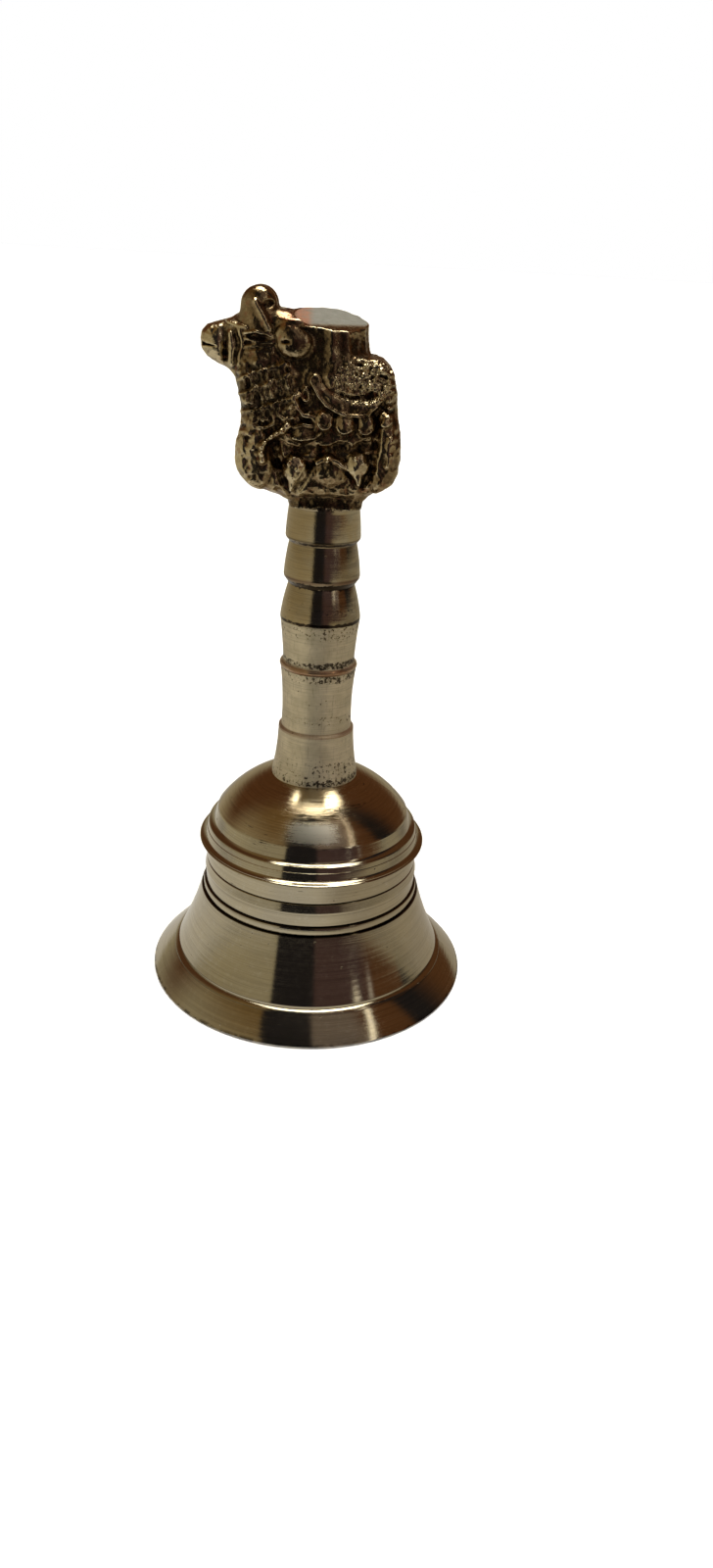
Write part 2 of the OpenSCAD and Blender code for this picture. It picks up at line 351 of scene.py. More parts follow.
def add_head(side):
    """The halter, the folds of the cheek, the jaw and the ridge at the horn's foot."""
    folds = (
        ([(-15.4, 29.8), (-13.4, 30.4), (-11.6, 30.0), (-10.4, 29.4)], 0.36, 0.75),
        ([(-15.3, 28.8), (-12.9, 28.5), (-10.4, 28.7)], 0.34, 0.7),
        ([(-15.3, 27.7), (-12.9, 27.9), (-10.3, 27.6)], 0.32, 0.65),
        ([(-15.0, 26.8), (-12.9, 26.9), (-10.3, 26.8)], 0.26, 0.6),
        ([(-17.9, 24.7), (-17.8, 27.2), (-18.1, 29.6)], 0.62, 0.7),
        ([(-13.6, 35.2), (-12.4, 33.0), (-11.0, 30.8)], 0.75, 0.8),
        ([(-16.4, 25.2), (-16.0, 27.6), (-16.3, 30.4)], 0.42, 0.6),
        ([(-18.6, 31.6), (-16.6, 31.0), (-15.2, 30.9)], 0.45, 0.6),
    )
    for fold in folds:
        side.ridge(*fold)
    side.dome((-12.4, 25.2), 2.9, 1.15, 1.0)
    cheek, lip_corner, horn_foot = (-12.8, 28.3), (-19.4, 26.4), (-11.2, 34.9)
    jaw_line, muzzle_line = [(-15.2, 26.3), (-10.2, 26.3)], [(-19.1, 25.2), (-19.0, 27.8)]
    side.dome(cheek, 2.9, 2.0, 0.45, sunk=True)
    side.ridge(jaw_line, 0.3, 0.5, sunk=True)
    side.ridge(muzzle_line, 0.4, 0.5, sunk=True)
    side.dome(lip_corner, 0.45, 0.7, 0.5, sunk=True)
    side.dome(horn_foot, 1.1, 0.8, 0.6, sunk=True)


# -------- the bull's solid
# x, y, across and z are the grid's axes, shaped so that they broadcast to it. across is the distance from
# the bull's middle plane, because its two sides are alike.

def bull_reliefs(x, z, step):
    """Heights of all that stands on the flanks and on the head, each on the side view's grid."""
    grid = (x.size, z.size)
    flat = np.stack([axis.ravel() for axis in np.broadcast_arrays(x, z)], 1)
    warp_x = x + 0.13 * waves(flat, 4.5, 21).reshape(grid)
    warp_z = z + 0.13 * waves(flat, 4.5, 22).reshape(grid)
    harness, legs, head = (Relief(warp_x, warp_z) for _ in range(3))
    add_saddle(harness)
    add_strap(harness)
    add_necklace(harness)
    harness.ridge([(11.2, 8.6), (11.8, 11.0), (11.7, 13.4)], [0.5, 0.8, 0.5], 0.6)
    add_legs(legs)
    add_head(head)
    uneven = 0.10 * waves(flat, 3.0, 23).reshape(grid) + 0.04 * waves(flat, 1.3, 24).reshape(grid)
    flank = softened(0.78 * harness.height + 0.78 * legs.height, step, 0.15)
    flank = flank + uneven * smooth_step(-z, -29, -25)
    return flank, softened(0.95 * head.height, step, 0.13)


def body_shape(x, across, z, flank):
    """The body and the plinth: side and front outlines and a rounded plan, with the flanks' relief."""
    side_outline = [
        (-6.9, -3), (-7.1, 0.6), (-9.0, 1.5), (-12.5, 2.5), (-14.6, 3.6), (-16.6, 5.6), (-17.6, 7.8),
        (-17.6, 9.8), (-17.1, 12), (-16.5, 14.2), (-16.4, 17), (-16.9, 19.6), (-17.8, 21.6), (-18.6, 23),
        (-17, 27), (-14, 30), (-9, 33.2), (-4, 33.6), (-2, 27), (7.8, 27), (10, 26.5), (11.6, 25.2),
        (12.4, 22.8), (13, 20.5), (13.6, 16.5), (14, 11.5), (14.1, 9.2), (13.7, 7), (12.7, 4.9), (11, 3.6),
        (9.1, 2.4), (7.5, 1.2), (6.9, -3),
    ]
    front_outline = [
        (-1, -3), (6.9, -3), (7.0, 1.8), (8.0, 2.7), (8.5, 4.0), (8.8, 7), (8.8, 12), (8.5, 16), (7.9, 20),
        (7.2, 23.5), (6.6, 27), (5.6, 31), (4.0, 36), (-1, 36),
    ]
    side = outline_distance(x[:, 0], z[0], side_outline)[:, None, :]
    front = outline_distance(across[0], z[0], front_outline)[None]
    plan = ((np.abs((x + 1.8) / 16.4) ** 3 + (across / 10.4) ** 3) ** (1 / 3) - 1) * 10
    body = smooth_max(smooth_max(side, front, 3.2), plan, 2.5)
    body = body - flank[:, None, :] * smooth_step(across, 3.5, 6.5)
    return smooth_max(body, side, 0.8)


def head_shape(x, across, z, face):
    """The head with its two horns, the relief of its cheeks and the slit of its mouth."""
    outline = [
        (-8, 24.5), (-13, 23.2), (-17.3, 22.6), (-19.2, 23.7), (-20.9, 24.5), (-22.6, 25.4), (-23.6, 26.9),
        (-23.8, 28.4), (-23.5, 29.8), (-22.4, 30.9), (-20.3, 31.5), (-18.2, 32.2), (-16.9, 33), (-14, 34),
        (-9, 34.2), (-6, 33.9), (-5, 27),
    ]
    half_width = 4.1 + 2.2 * smooth_step(x, -21, -11) - 0.5 * smooth_step(-np.abs(x + 19.2), -1.2, 0)
    cheek = outline_distance(x[:, 0], z[0], outline)[:, None, :]
    head = smooth_max(cheek, across - half_width, 3.4)
    horn_line = segment_distance(x[:, 0], z[0], (-12.9, 29.0), (-13.0, 34.6))[0][:, None, :]
    horn = np.hypot(horn_line, (across - 3.3) / 0.85) - 3.3 - 0.3 * smooth_step(-z, -35, -32)
    on_cheek = smooth_step(across, 1.2, 3.0) * smooth_step(-x, 9.5, 10.5)
    head = smooth_min(head, horn, 0.7) - face[:, None, :] * on_cheek
    mouth = segment_distance(x[:, 0], z[0], (-25, 27.9), (-20.6, 27.3))[0][:, None, :]
    mouth_half = 0.08 + 0.22 * smooth_step(-x, 20.6, 23.5)
    slit = np.maximum(mouth - mouth_half, 1.4 - across)
    return smooth_max(head, -slit, 0.2)


def ear_shape(x, across, z):
    """An ear on each side, hollowed by its curl."""
    lobe = ellipsoid(x, across - 6.7, z, (-6.4, 0, 28.6), (3.1, 1.6, 2.6))
    tip = ellipsoid(x, across - 6.2, z, (-7.6, 0, 30.3), (2.4, 1.4, 1.6))
    curl = ellipsoid(x, across, z, (-8.0, 8.3, 28.9), (0.9, 0.9, 0.4))
    return smooth_max(smooth_min(lobe, tip, 0.8), -curl, 0.3)


def with_stub(solid, x, y, z):
    """Adds the stub that is ground off flat, on the handle's axis, and grinds what is round it."""
    turn = np.arctan2(y, x)
    chipped = 0.16 * np.sin(5 * turn + 1.0) + 0.12 * np.sin(11 * turn) + 0.08 * np.sin(17 * turn + 2.0)
    stub = np.hypot(x + 0.1, y) - (6.8 + chipped + 1.2 * smooth_step(-z, -31, -22))
    stub = np.maximum(stub, 18 - z)
    slope_across, slope_along = math.tan(math.radians(13)), math.tan(math.radians(5))
    ground = (z - 32.7) - slope_across * y + slope_along * (x - 0.5)
    solid = smooth_min(solid, stub, 1.2)
    on_stub = smooth_step(-np.hypot(x + 0.1, y), -9.5, -7.8)
    return np.where(on_stub > 0, smooth_max(solid, ground * 0.97 - 3 * (1 - on_stub), 0.2), solid)


def bull_field(step):
    """The bull and its plinth as a signed distance field on a grid, and the grid's first corner."""
    low = np.array((-25.5, -12.0, -0.9))
    high = np.array((16.0, 12.0, bull_height + 0.9))
    x, y, z = (np.arange(a, b, step, dtype=np.float64) for a, b in zip(low, high))
    x, y, z = x[:, None, None], y[None, :, None], z[None, None, :]
    across = np.abs(y)
    flank, face = bull_reliefs(x[:, 0], z[0], step)
    solid = smooth_min(body_shape(x, across, z, flank), head_shape(x, across, z, face), 0.7)
    solid = smooth_min(solid, ear_shape(x, across, z), 0.35)
    brow = ellipsoid(x, across - 5.0, z, (-6.0, 0, 32.2), (3.4, 2.0, 0.9))
    solid = with_stub(smooth_min(solid, brow, 0.6), x, y, z)
    neck = smooth_max(np.hypot(x, y) - 7.2, np.abs(z - 1.4) - 1.4, 0.3)
    return smooth_min(solid, neck, 0.3), low


# -------- meshes

def new_object(name, mesh):
    piece = bpy.data.objects.new(name, mesh)
    bpy.context.scene.collection.objects.link(piece)
    return piece


def turned_part():
    """A copy of the CAD handle below the plinth's foot, closed at the cut."""
    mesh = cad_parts["nandi_handle"].data.copy()
    work = bmesh.new()
    work.from_mesh(mesh)
    bmesh.ops.remove_doubles(work, verts=work.verts, dist=1e-7)
    everything = work.verts[:] + work.edges[:] + work.faces[:]
    cut = {"plane_co": Vector((0, 0, foot_z * MM)), "plane_no": (0, 0, 1), "clear_outer": True}
    result = bmesh.ops.bisect_plane(work, geom=everything, **cut)
    edges = [e for e in result["geom_cut"] if isinstance(e, bmesh.types.BMEdge)]
    bmesh.ops.holes_fill(work, edges=edges)
    work.to_mesh(mesh)
    work.free()
    return new_object("grip_part", mesh)


def union(first, second, name):
    """One closed mesh out of two that overlap."""
    modifier = first.modifiers.new("union", "BOOLEAN")
    modifier.operation = "UNION"
    modifier.solver = "MANIFOLD"
    modifier.object = second
    graph = bpy.context.evaluated_depsgraph_get()
    mesh = bpy.data.meshes.new_from_object(first.evaluated_get(graph))
    bpy.data.objects.remove(first)
    bpy.data.objects.remove(second)
    return new_object(name, mesh)


def neighbour_mean(values, edges, counts, rounds):
    """The values after some rounds of averaging with the neighbours along the edges."""
    for _ in range(rounds):
        total = np.zeros_like(values)
        for column in range(values.shape[1]):
            one = np.bincount(edges[:, 0], values[edges[:, 1], column], len(values))
            two = np.bincount(edges[:, 1], values[edges[:, 0], column], len(values))
            total[:, column] = one + two
        values = 0.5 * values + 0.5 * total / counts[:, None]
    return values


def read(elements, key, width, kind=float):
    """One row of values for each element of a mesh."""
    values = np.empty(len(elements) * width, kind)
    elements.foreach_get(key, values)
    return values.reshape(-1, width)


def store_relief(mesh):
    """Keeps how far each point stands above its surroundings, in millimetres, near by and further off."""
    points = read(mesh.vertices, "co", 3) / MM
    normals = read(mesh.vertex_normals, "vector", 3)
    edges = read(mesh.edges, "vertices", 2, np.int64)
    counts = np.maximum(np.bincount(edges.ravel(), minlength=len(points)), 1)
    for name, rounds in (("relief_near", 8), ("relief_far", 70)):
        mean = neighbour_mean(points, edges, counts, rounds)
        above = ((points - mean) * normals).sum(1)
        above[points[:, 2] < foot_z - 0.6] = 0
        attribute = mesh.attributes.new(name, "FLOAT", "POINT")
        attribute.data.foreach_set("value", above)


def make_bull():
    """The cast bull on its plinth, closed below by a short round neck."""
    step = 0.19
    field, low = bull_field(step)
    z = low[2] + step * np.arange(field.shape[2])
    field = smooth_max(field, -0.4 - z, 0.05)
    field[:, :, 0] = 1
    vertices, quads = surface_nets(field, low, step)
    skin = waves(vertices, 2.2, 11) * 0.04 + waves(vertices, 0.9, 12) * 0.015
    lower = vertices + np.array((0, 0, foot_z))
    mesh = bpy.data.meshes.new("bull")
    mesh.from_pydata((lower * MM).tolist(), [], quads.tolist())
    keep = smooth_step(vertices[:, 2], 0.4, 1.4) * smooth_step(-vertices[:, 2], -bull_height + 4.6, -31)
    moved = lower + read(mesh.vertex_normals, "vector", 3) * (skin * keep)[:, None]
    mesh.vertices.foreach_set("co", (moved * MM).ravel())
    return new_object("bull_part", mesh)


def make_handle():
    """The whole handle casting: stud, turned grip and bull. It stands for the CAD handle."""
    handle = union(make_bull(), turned_part(), "handle_casting")
    mesh = handle.data
    mesh.materials.clear()
    mesh.materials.append(grip_brass())
    mesh.materials.append(cast_brass())
    work = bmesh.new()
    work.from_mesh(mesh)
    for face in work.faces:
        face.smooth = True
        face.material_index = int(face.calc_center_median().z > (foot_z - 0.3) * MM)
    sharp = math.radians(28)
    for edge in work.edges:
        low = min(v.co.z for v in edge.verts) / MM
        edge.smooth = low > foot_z - 0.5 or len(edge.link_faces) != 2 or edge.calc_face_angle() < sharp
    work.to_mesh(mesh)
    work.free()
    store_relief(mesh)
    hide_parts("nandi_handle")
    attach(handle, "bell")


# -------- node trees

class Nodes:
    """Short calls for building a node tree. Sockets and plain numbers may be passed alike."""

    def __init__(self, tree, clear=True):
        self.tree = tree
        if clear:
            tree.nodes.clear()

    def put(self, socket, value):
        if isinstance(value, bpy.types.NodeSocket):
            self.tree.links.new(value, socket)
        elif isinstance(value, tuple) and len(value) == 3 and socket.type == "RGBA":
            socket.default_value = (*value, 1)
        else:
            socket.default_value = value

    def add(self, kind, inputs, **settings):
        node = self.tree.nodes.new("ShaderNode" + kind)
        for name, value in settings.items():
            setattr(node, name, value)
        for name, value in inputs.items():
            self.put(node.inputs[name], value)
        return node

    def math(self, operation, a, b=0.0, c=0.0):
        return self.add("Math", {0: a, 1: b, 2: c}, operation=operation).outputs[0]

    # line(value, slope, offset) is value * slope + offset.
    plus = partialmethod(math, "ADD")
    minus = partialmethod(math, "SUBTRACT")
    larger = partialmethod(math, "MAXIMUM")
    line = partialmethod(math, "MULTIPLY_ADD")
    absolute = partialmethod(math, "ABSOLUTE")

    def times(self, a, *factors):
        for factor in factors:
            a = self.math("MULTIPLY", a, factor)
        return a

    def length(self, a, b):
        return self.math("SQRT", self.plus(self.times(a, a), self.times(b, b)))

    def turn(self, x, y):
        """The angle round the Z axis in radians: 0 at the front, -Y, and positive towards +X."""
        return self.math("ARCTAN2", x, self.times(y, -1.0))

    def span(self, value, low, high, to_low=0.0, to_high=1.0):
        """A smooth step from to_low at low to to_high at high."""
        inputs = {"Value": value, "From Min": low, "From Max": high, "To Min": to_low, "To Max": to_high}
        return self.add("MapRange", inputs, interpolation_type="SMOOTHSTEP").outputs[0]

    def band(self, value, low, high, soft):
        """1 between low and high, 0 outside, with soft edges."""
        up = self.span(value, low - soft, low + soft)
        return self.times(up, self.span(value, high - soft, high + soft, 1.0, 0.0))

    def mix(self, factor, a, b):
        node = self.add("Mix", {}, data_type="RGBA")
        for index, value in ((0, factor), (6, a), (7, b)):
            self.put(node.inputs[index], value)
        return node.outputs[2]

    def noise(self, vector, scale, detail=2.0, roughness=0.5):
        inputs = {"Vector": vector, "Scale": scale, "Detail": detail, "Roughness": roughness}
        return self.add("TexNoise", inputs).outputs[0]

    def join(self, x, y, z):
        return self.add("CombineXYZ", {0: x, 1: y, 2: z}).outputs[0]

    def split(self, vector):
        return self.add("SeparateXYZ", {0: vector}).outputs

    def coordinates(self, kind):
        return self.add("TexCoord", {}).outputs[kind]


class Metal(Nodes):
    """A metal material. Its coordinates are millimetres in the CAD frame."""

    def __init__(self, name, anisotropy=0.0):
        self.material = bpy.data.materials.new(name)
        self.material.use_nodes = True
        super().__init__(self.material.node_tree)
        self.shader = self.add("BsdfPrincipled", {"Metallic": 1.0, "Anisotropic": anisotropy})
        self.add("OutputMaterial", {"Surface": self.shader.outputs[0]})
        inputs = {0: self.coordinates("Object"), "Scale": 1 / MM}
        self.place = self.add("VectorMath", inputs, operation="SCALE").outputs[0]
        self.x, self.y, self.z = self.split(self.place)
        self.radius = self.length(self.x, self.y)
        if anisotropy:
            tangent = self.join(self.times(self.y, -1.0), self.x, 0.0)
            tangent = self.add("VectorMath", {0: tangent}, operation="NORMALIZE").outputs[0]
            quarter_turn = 0.25
            self.put(self.shader.inputs["Tangent"], tangent)
            self.put(self.shader.inputs["Anisotropic Rotation"], quarter_turn)

    def finish(self, colour, roughness, bumps):
        """bumps are (height, distance in millimetres) pairs, laid over each other."""
        self.put(self.shader.inputs["Base Color"], colour)
        self.put(self.shader.inputs["Roughness"], roughness)
        normal = None
        for height, distance in bumps:
            inputs = {"Height": height, "Distance": distance * MM, "Strength": 1.0}
            if normal is not None:
                inputs["Normal"] = normal
            normal = self.add("Bump", inputs).outputs[0]
        self.put(self.shader.inputs["Normal"], normal)
        return self.material

    def stain(self, colour, tone, *masks):
        """The colour with a tone over it, as strong as the masks multiplied together."""
        return self.mix(self.times(*masks), colour, tone)

    def belt(self, height, half, soft):
        """1 within half of a height, with soft edges."""
        return self.band(self.z, height - half, height + half, soft)

    def oval(self, centre_x, centre_z, half_x, half_z):
        """1 inside an oval patch of the bull's flanks, fading out at its edge."""
        across = self.math("DIVIDE", self.minus(self.x, centre_x), half_x)
        up = self.math("DIVIDE", self.minus(self.z, centre_z), half_z)
        return self.span(self.length(across, up), 0.75, 1.0, 1.0, 0.0)

    def circle(self):
        """Cosine and sine of the angle round the axis, which have no seam."""
        return self.math("DIVIDE", self.x, self.radius), self.math("DIVIDE", self.y, self.radius)

    def wrapped(self, round_scale, height, seed):
        """Seamless noise coordinates on a turned surface: round_scale cells a radian, and a height."""
        cosine, sine = self.circle()
        return self.join(self.line(cosine, round_scale, seed), self.times(sine, round_scale), height)

    def along(self, slope):
        """A height that also grows with the radius, so that it runs along a flared profile."""
        return self.line(self.radius, slope, self.z)

    def turning(self, slope, density, seed):
        """Lathe lines: noise along the profile that changes slowly round the axis."""
        cosine, sine = self.circle()
        place = self.join(self.times(self.along(slope), density), self.plus(cosine, seed), sine)
        return self.noise(place, 1.0, 3.0, 0.6)

    def pits(self, spacing, size, seed):
        """Scattered small round pits, 1 at their middles."""
        share_left_out = 0.72
        moved = self.add("VectorMath", {0: self.place, 1: (seed, seed, seed)}, operation="ADD").outputs[0]
        cells = self.add("TexVoronoi", {"Vector": moved, "Scale": 1 / spacing, "Randomness": 1.0})
        chosen = self.math("GREATER_THAN", self.split(cells.outputs["Color"])[0], share_left_out)
        near = self.span(cells.outputs["Distance"], 0.4 * size / spacing, size / spacing, 1.0, 0.0)
        return self.times(near, chosen)

    def lined(self, colour, lines, depth):
        """Darkens a colour along its lathe lines."""
        shade = self.span(lines, 0.25, 0.7, 1.0 - depth, 1.0 + 0.4 * depth)
        return self.mix(self.minus(1.0, shade), colour, lathe_shadow)


# -------- materials

brass_tone = (0.47, 0.42, 0.315)
# The next tone is a painted warm reflection, laid over the dome.
painted_warm_reflection = (0.46, 0.33, 0.17)
lathe_shadow = (0.10, 0.075, 0.045)
residue = (0.030, 0.020, 0.012)
red_lacquer = (0.20, 0.055, 0.018)
# The next tone is a painted brown reflection, laid on one ring of the grip.
painted_brown_reflection = (0.24, 0.11, 0.045)
cup_slope = -0.6


def cup_colour(m, fine, broad, cloud, dome):
    """Yellow brass with paler clouds, a warm reflection painted on the dome, and darker along the lathe
    lines.
    """
    patches = m.noise(m.place, 0.09, 3.0)
    colour = m.mix(m.span(patches, 0.35, 0.65), brass_tone, (0.50, 0.44, 0.31))
    colour = m.stain(colour, (0.60, 0.56, 0.46), m.span(cloud, 0.5, 0.75), 0.5)
    # Painted reflection: the dome is tinted warm brown, standing in for the brown room that it mirrors.
    colour = m.stain(colour, painted_warm_reflection, dome, 0.45)
    return m.lined(m.lined(colour, fine, 0.26), broad, 0.12)


def cup_residue(m, colour):
    """Black residue: full in the grooves, in dashes above them, and in chips at the lip's edge."""
    # Height, half height and strength.
    grooves = (
        (20.0, 0.16, 0.97), (21.9, 0.22, 0.97), (27.1, 0.16, 0.85), (6.45, 0.06, 0.75), (5.15, 0.06, 0.6),
        (24.6, 0.07, 0.4),
    )
    for height, half, strength in grooves:
        colour = m.stain(colour, residue, m.belt(height, half, 0.08), strength)
    along = m.along(cup_slope)
    dash_place = m.wrapped(5.0, m.times(along, 2.6), 3.0)
    dashes = m.span(m.noise(dash_place, 1.0, 3.0, 0.6), 0.66, 0.70)
    dash_zone = m.times(m.span(m.z, 26.6, 27.4), m.span(m.noise(m.place, 0.13, 1.0), 0.48, 0.6))
    colour = m.stain(colour, residue, dashes, dash_zone)
    lip_edge = m.span(m.z, 0.5, 1.1, 1.0, 0.0)
    colour = m.stain(colour, residue, lip_edge, m.span(m.noise(m.place, 0.5, 3.0, 0.7), 0.46, 0.56), 0.85)

    # The longest dashes: turn and half width, in radians, then place along the profile and half height.
    scale_left = m.span(m.noise(dash_place, 1.3, 3.0, 0.6), 0.50, 0.56)
    zones = (
        (0.08, 0.3, 33.9, 0.9), (-0.42, 0.16, 26.3, 0.35), (0.22, 0.24, 26.4, 0.3), (0.5, 0.4, 35.6, 0.5),
    )
    for turn, half_turn, place, half in zones:
        off = m.absolute(m.minus(m.turn(m.x, m.y), turn))
        beside = m.span(off, 0.6 * half_turn, half_turn, 1.0, 0.0)
        level = m.band(along, place - half, place + half, 0.2)
        colour = m.stain(colour, residue, scale_left, beside, level)
    return colour


def cup_brass():
    """Lathe-turned brass, with blackened grooves, dark scale left in dashes, pits, and a rougher scuff on
    the dome's lower front with a pale reflection glow painted over it.
    """
    m = Metal("turned_brass_cup", anisotropy=0.8)
    fine = m.turning(cup_slope, 6.0, 0)
    broad = m.turning(cup_slope, 1.1, 9)
    cloud = m.noise(m.place, 0.9, 4.0, 0.7)
    dome = m.span(m.z, 38.5, 39.2)
    colour = cup_residue(m, cup_colour(m, fine, broad, cloud, dome))
    pits = m.larger(m.pits(1.9, 0.17, 4.0), m.pits(3.1, 0.26, 17.0))
    worn_side = m.times(m.span(m.x, 3.0, 9.0), m.band(m.z, 12.0, 26.5, 2.0))
    pitted = m.times(pits, m.larger(worn_side, m.span(m.noise(m.place, 0.07, 1.0), 0.42, 0.56)))
    colour = m.stain(colour, residue, pitted, 0.9)
    # On the dome's lower front the roughness is raised as a real scuff. A pale grey reflection glow is
    # painted into the colour there.
    in_front = m.span(m.absolute(m.turn(m.x, m.y)), 0.16, 0.42, 1.0, 0.0)
    scuffed_and_painted_glow = m.times(in_front, m.band(m.z, 39.4, 42.6, 0.7))
    colour = m.stain(colour, (0.62, 0.61, 0.54), scuffed_and_painted_glow, 0.75)
    roughness = m.span(m.line(fine, 0.6, m.times(cloud, 0.4)), 0.3, 0.7, 0.05, 0.17)
    roughness = m.line(dome, 0.05, roughness)
    roughness = m.line(scuffed_and_painted_glow, 0.16, roughness)
    ripples = m.times(fine, m.span(dome, 0.0, 1.0, 0.7, 1.6))
    return m.finish(colour, roughness, [(ripples, 0.007), (broad, 0.015), (m.times(pitted, -1.0), 0.05)])


def grip_tones(m, patches, broad, worn):
    """Silvery brass with a warm reflection painted on its left and shade painted on its right, and paler
    where it is worn.
    """
    colour = m.mix(m.span(patches, 0.35, 0.65), brass_tone, (0.46, 0.38, 0.24))
    worn_tone = m.mix(m.span(patches, 0.3, 0.7), (0.56, 0.49, 0.335), (0.69, 0.61, 0.435))
    colour = m.mix(worn, colour, worn_tone)
    # Painted shade: the right side of the upper grip is darkened, more along the broad lathe lines.
    right_side_painted_shade = m.times(m.span(m.x, 1.5, 5.5), m.band(m.z, crown_z + 34.6, crown_z + 50.2, 0.5))
    colour = m.stain(colour, (0.16, 0.125, 0.085), right_side_painted_shade, m.span(broad, 0.3, 0.6, 0.25, 0.65))
    # Painted reflection: the left side is tinted warm brown, less where the grip is worn.
    left_side_painted_warmth = m.span(m.x, 0.5, -4.5)
    colour = m.stain(colour, (0.33, 0.25, 0.13), left_side_painted_warmth, m.span(worn, 0.0, 1.0, 0.7, 0.0))
    for height, half in ((50.4, 0.5), (42.6, 0.6)):
        colour = m.stain(colour, (0.12, 0.09, 0.055), m.belt(crown_z + height, half, 0.12), 0.6)
    return colour


def grip_rings(m, colour):
    """Red lacquer left on two rings, and a brown reflection painted on the ring at 24.6 mm, all in patches.
    """
    # Height above the crown, half height, tone and strength.
    rings = (
        # The brown tone on the ring at 24.6 mm is a painted reflection of the warm brown room above it.
        (24.6, 0.66, painted_brown_reflection, 0.85), (10.8, 0.42, red_lacquer, 0.6), (43.0, 0.4, red_lacquer, 0.3),
    )
    kept = m.span(m.noise(m.place, 0.12, 1.0), 0.3, 0.6, 1.0, 0.6)
    for height, half, tone, strength in rings:
        colour = m.stain(colour, tone, m.belt(crown_z + height, half, 0.12), strength, kept)
    return colour


def grip_dirt(m, colour, grime):
    """Dark dirt in belts beside the rings, heavier on the right."""
    # Height above the crown, half height and amount.
    belts = (
        (34.5, 0.5, 0.75), (33.0, 2.6, 0.27), (26.0, 1.0, 0.5), (23.2, 1.5, 0.36), (41.9, 0.9, 0.80),
        (58.6, 2.4, 0.62), (50.2, 0.4, 0.62), (0.9, 1.1, 0.42), (3.4, 3.4, 0.24), (37.5, 2.0, 0.18),
        (14.0, 1.6, 0.22),
    )
    ragged = m.noise(m.place, 0.45, 2.0)
    heavier = m.span(m.x, -6.0, 3.0, 0.75, 1.12)
    for height, half, amount in belts:
        off = m.absolute(m.minus(m.z, m.line(ragged, 0.8, crown_z + height - 0.4)))
        belt = m.span(off, half * 0.3, half, amount, 0.0)
        dirt = m.span(m.line(m.times(belt, heavier), 0.45, grime), 0.66, 0.72)
        colour = m.stain(colour, residue, dirt, m.span(belt, 0.0, 0.08, 0.0, 0.95))
    return colour


def grip_brass():
    """The turned grip: silvery brass with dirt beside its rings, worn dull in its lower half."""
    m = Metal("turned_brass_grip", anisotropy=0.7)
    fine = m.turning(0.0, 6.0, 3)
    broad = m.turning(0.0, 0.9, 5)
    patches = m.noise(m.place, 0.3, 4.0, 0.6)
    worn = m.span(m.z, crown_z + 33.6, crown_z + 34.6, 1.0, 0.0)
    colour = m.lined(grip_tones(m, patches, broad, worn), fine, 0.30)
    scratches = m.noise(m.wrapped(22.0, m.times(m.z, 0.35), 7.0), 1.0, 3.0, 0.7)
    scratched = m.times(m.span(scratches, 0.56, 0.66), m.span(worn, 0.0, 1.0, 0.06, 0.3))
    colour = m.mix(scratched, colour, (0.16, 0.13, 0.085))
    colour = grip_rings(m, colour)
    clean_ring = m.band(m.z, crown_z + 24.1, crown_z + 25.2, 0.1)
    grime = m.line(clean_ring, -0.5, m.noise(m.place, 1.5, 5.0, 0.72))
    colour = grip_dirt(m, colour, grime)
    pits = m.times(m.pits(1.1, 0.2, 8.0), m.span(m.noise(m.place, 0.2, 1.0), 0.5, 0.6))
    colour = m.stain(colour, residue, pits, 0.9)
    polish = m.span(m.plus(m.times(fine, 0.5), m.times(grime, 0.5)), 0.3, 0.7, 0.08, 0.2)
    roughness = m.line(m.times(worn, m.minus(1.0, clean_ring)), 0.34, polish)
    m.put(m.shader.inputs["Metallic"], m.line(worn, -0.16, 1.0))
    bumps = [(fine, 0.008), (broad, 0.02), (grime, 0.02), (m.times(pits, -1.0), 0.06)]
    return m.finish(colour, roughness, bumps)


def bull_tones(m, height, mottled, cloth):
    """Black in the recesses, brown on the slopes, bright on the ridges, with rubbed and reddish parts."""
    colour = m.mix(m.span(mottled, -0.38, -0.02), (0.018, 0.012, 0.008), (0.24, 0.17, 0.09))
    colour = m.mix(m.span(mottled, 0.0, 0.34), colour, (0.42, 0.335, 0.20))
    colour = m.mix(m.span(height, 0.22, 0.62), colour, (0.76, 0.66, 0.45))
    knees = m.larger(m.oval(-6.0, foot_z + 6.0, 3.2, 4.0), m.oval(6.0, foot_z + 8.0, 2.8, 3.6))
    chest = m.times(m.span(m.x, -11.5, -14.5), m.span(m.z, foot_z + 15.0, foot_z + 12.0))
    muzzle = m.span(m.x, -15.0, -18.5)
    rubbed = m.larger(m.larger(muzzle, chest), m.larger(cloth, knees))
    colour = m.stain(colour, (0.70, 0.60, 0.39), rubbed, m.span(mottled, -0.25, 0.12, 0.0, 0.65))
    return m.stain(colour, (0.26, 0.09, 0.045), m.span(m.noise(m.place, 0.8, 2.0), 0.58, 0.70), 0.4)


def bull_ground(m, colour, blotch, scratch, ground, up):
    """The stub's ground face, grey with a coppery side, and copper on the metal beside it."""
    tone = m.mix(m.span(scratch, 0.35, 0.7), (0.20, 0.195, 0.165), (0.30, 0.30, 0.27))
    tone = m.mix(m.span(m.x, -3.0, -6.0, 0.0, 0.6), tone, (0.19, 0.115, 0.075))
    colour = m.mix(ground, colour, tone)
    beside = m.times(m.band(m.x, -9.0, -3.8, 0.8), m.span(m.z, foot_z + 31.0, foot_z + 32.0))
    patchy = m.span(blotch, 0.35, 0.55, 0.2, 0.8)
    return m.stain(colour, (0.36, 0.16, 0.09), beside, m.span(up, 0.3, 0.7), patchy)


